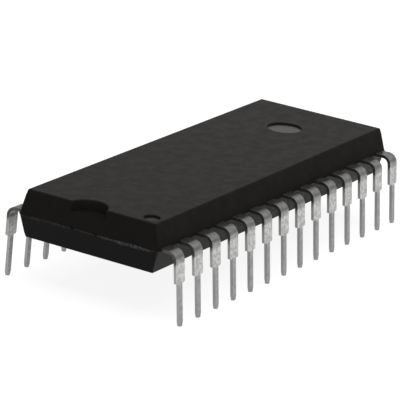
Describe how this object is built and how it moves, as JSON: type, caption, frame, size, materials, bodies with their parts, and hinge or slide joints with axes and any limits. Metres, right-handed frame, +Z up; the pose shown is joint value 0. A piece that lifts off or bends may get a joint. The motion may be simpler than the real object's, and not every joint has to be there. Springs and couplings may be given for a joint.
{
  "type": "dual in-line integrated circuit package",
  "caption": "Wide dual in-line chip package: a flat moulded plastic body with an end notch and a round corner dimple, on two rows of bent tinned leads.",
  "frame": {"origin": "middle of the lead pattern, in the plane of the lead tips", "axes": "+X along the body, away from the notch; +Y across it, from the near row with the first lead to the far row; +Z up, out of the marked top face"},
  "size_m": [0.0354, 0.0162, 0.0077],
  "materials": {
    "moulding_compound": "fine matt moulded epoxy",
    "tinned_lead": "satin tin plating, mottled",
    "lead_frame_alloy": "bare stamped nickel iron strip",
    "die_bond": "silver filled epoxy",
    "silicon": "polished silicon",
    "bond_wire_gold": "drawn gold"
  },
  "bodies": {
    "root": {"moulded_body": "moulding_compound", "lead_01": "tinned_lead", "lead_02": "tinned_lead", "lead_03": "tinned_lead", "lead_04": "tinned_lead", "lead_05": "tinned_lead", "lead_06": "tinned_lead", "lead_07": "tinned_lead", "lead_08": "tinned_lead", "lead_09": "tinned_lead", "lead_10": "tinned_lead", "lead_11": "tinned_lead", "lead_12": "tinned_lead", "lead_13": "tinned_lead", "lead_14": "tinned_lead", "lead_15": "tinned_lead", "lead_16": "tinned_lead", "lead_17": "tinned_lead", "lead_18": "tinned_lead", "lead_19": "tinned_lead", "lead_20": "tinned_lead", "lead_21": "tinned_lead", "lead_22": "tinned_lead", "lead_23": "tinned_lead", "lead_24": "tinned_lead", "lead_25": "tinned_lead", "lead_26": "tinned_lead", "lead_27": "tinned_lead", "lead_28": "tinned_lead", "die_paddle": "lead_frame_alloy", "die_attach": "die_bond", "die": "silicon", "bond_wire_01": "bond_wire_gold", "bond_wire_02": "bond_wire_gold", "bond_wire_03": "bond_wire_gold", "bond_wire_04": "bond_wire_gold", "bond_wire_05": "bond_wire_gold", "bond_wire_06": "bond_wire_gold", "bond_wire_07": "bond_wire_gold", "bond_wire_08": "bond_wire_gold", "bond_wire_09": "bond_wire_gold", "bond_wire_10": "bond_wire_gold", "bond_wire_11": "bond_wire_gold", "bond_wire_12": "bond_wire_gold", "bond_wire_13": "bond_wire_gold", "bond_wire_14": "bond_wire_gold", "bond_wire_15": "bond_wire_gold", "bond_wire_16": "bond_wire_gold", "bond_wire_17": "bond_wire_gold", "bond_wire_18": "bond_wire_gold", "bond_wire_19": "bond_wire_gold", "bond_wire_20": "bond_wire_gold", "bond_wire_21": "bond_wire_gold", "bond_wire_22": "bond_wire_gold", "bond_wire_23": "bond_wire_gold", "bond_wire_24": "bond_wire_gold", "bond_wire_25": "bond_wire_gold", "bond_wire_26": "bond_wire_gold", "bond_wire_27": "bond_wire_gold", "bond_wire_28": "bond_wire_gold"}
  },
  "joints": []
}
